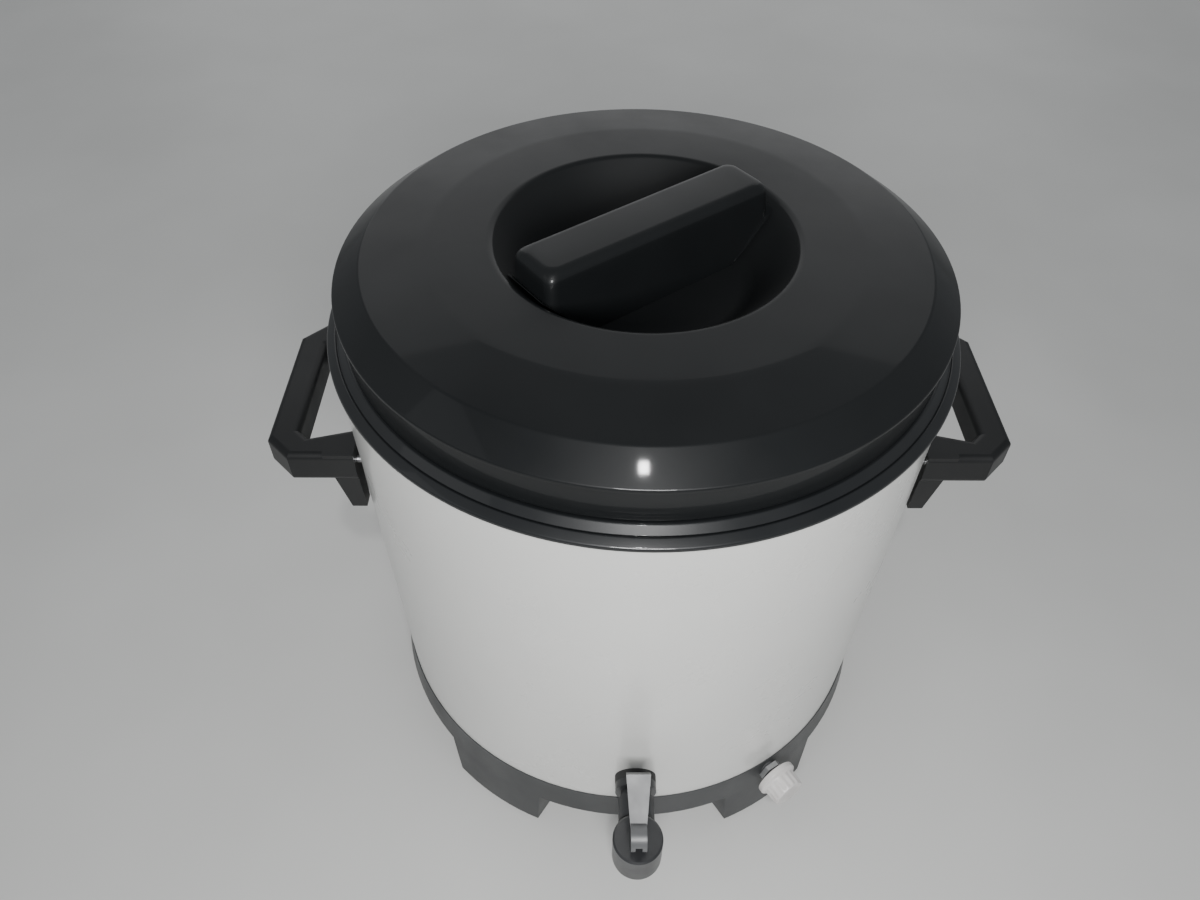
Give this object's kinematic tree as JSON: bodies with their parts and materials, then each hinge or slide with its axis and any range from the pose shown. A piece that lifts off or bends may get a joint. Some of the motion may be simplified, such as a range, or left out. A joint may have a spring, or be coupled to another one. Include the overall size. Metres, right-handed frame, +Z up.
{
  "type": "electric cooking pot with draw-off tap",
  "caption": "Round white electric cooking pot with black lift-off lid, side handles, footed base, front draw-off tap with lever and a heat knob.",
  "frame": {"origin": "on the pot's axis, in the plane that its feet stand on", "axes": "+Z up, tap towards -Y, side handles along X"},
  "size_m": [0.39, 0.3627, 0.346],
  "materials": {
    "white_enamel": "glossy white enamel",
    "black_gloss": "glossy black",
    "base_black": "satin dark grey",
    "grey_plastic": "satin mid grey",
    "pale_plastic": "pale satin",
    "steel": "brushed",
    "aluminium": "satin",
    "rubber": "matt",
    "wire_cover": "matt"
  },
  "bodies": {
    "pot": {"base_ring": "base_black", "bottom_cover": "steel", "collar_ring": "black_gloss", "cord_gland": "base_black", "cover_screws": "steel", "cover_spacer": "steel", "foot_pads": "rubber", "gland_nut": "base_black", "handle_left": "black_gloss", "handle_right": "black_gloss", "handle_screws": "steel", "heat_shield": "steel", "heater_plate": "aluminium", "heating_element": "steel", "outer_shell": "white_enamel", "shield_spacer": "steel", "tank_floor": "steel", "tank_wall": "steel", "tap_body": "base_black", "tap_bonnet": "base_black", "tap_inner_washer": "rubber", "tap_lock_nut": "steel", "tap_outer_washer": "rubber", "tap_spout": "base_black", "tap_spring": "steel", "terminal_block": "grey_plastic", "thermal_cutout": "grey_plastic", "thermostat_body": "grey_plastic", "thermostat_nut": "steel", "tie_nut": "steel", "tie_stud": "steel", "wire_element": "wire_cover", "wire_heater": "wire_cover", "wire_supply_live": "wire_cover", "wire_supply_neutral": "wire_cover", "wire_thermostat": "wire_cover"},
    "lid": {"lid_shell": "black_gloss", "lid_dish": "black_gloss", "lid_grip": "black_gloss", "lid_grip_screws": "steel", "lid_seal": "rubber"},
    "stem": {"tap_stem": "steel", "tap_seat_cup": "rubber", "tap_pivot_pin": "steel"},
    "lever": {"tap_lever": "grey_plastic"},
    "knob": {"thermostat_knob": "pale_plastic", "thermostat_shaft": "steel"}
  },
  "joints": [
    {"name": "lid_lift", "type": "slide", "parent": "pot", "child": "lid", "axis": [0, 0, 1], "range_m": [0, 0.12]},
    {"name": "tap_stem_lift", "type": "slide", "parent": "pot", "child": "stem", "axis": [0, 0, 1], "range_m": [0, 0.0041], "deforming": ["tap_spring"]},
    {"name": "tap_lever_turn", "type": "hinge", "parent": "stem", "child": "lever", "pos_m": [0, -0.19, 0.0935], "axis": [1, 0, 0], "range_deg": [0, 80]},
    {"name": "knob_turn", "type": "hinge", "parent": "pot", "child": "knob", "pos_m": [0.08714, -0.13419, 0.039], "axis": [0.5446, -0.8387, 0], "range_deg": [0, 270]}
  ],
  "couplings": [
    {"joint": "tap_stem_lift", "follows": "tap_lever_turn", "m_per_rad": 0.0028648}
  ]
}
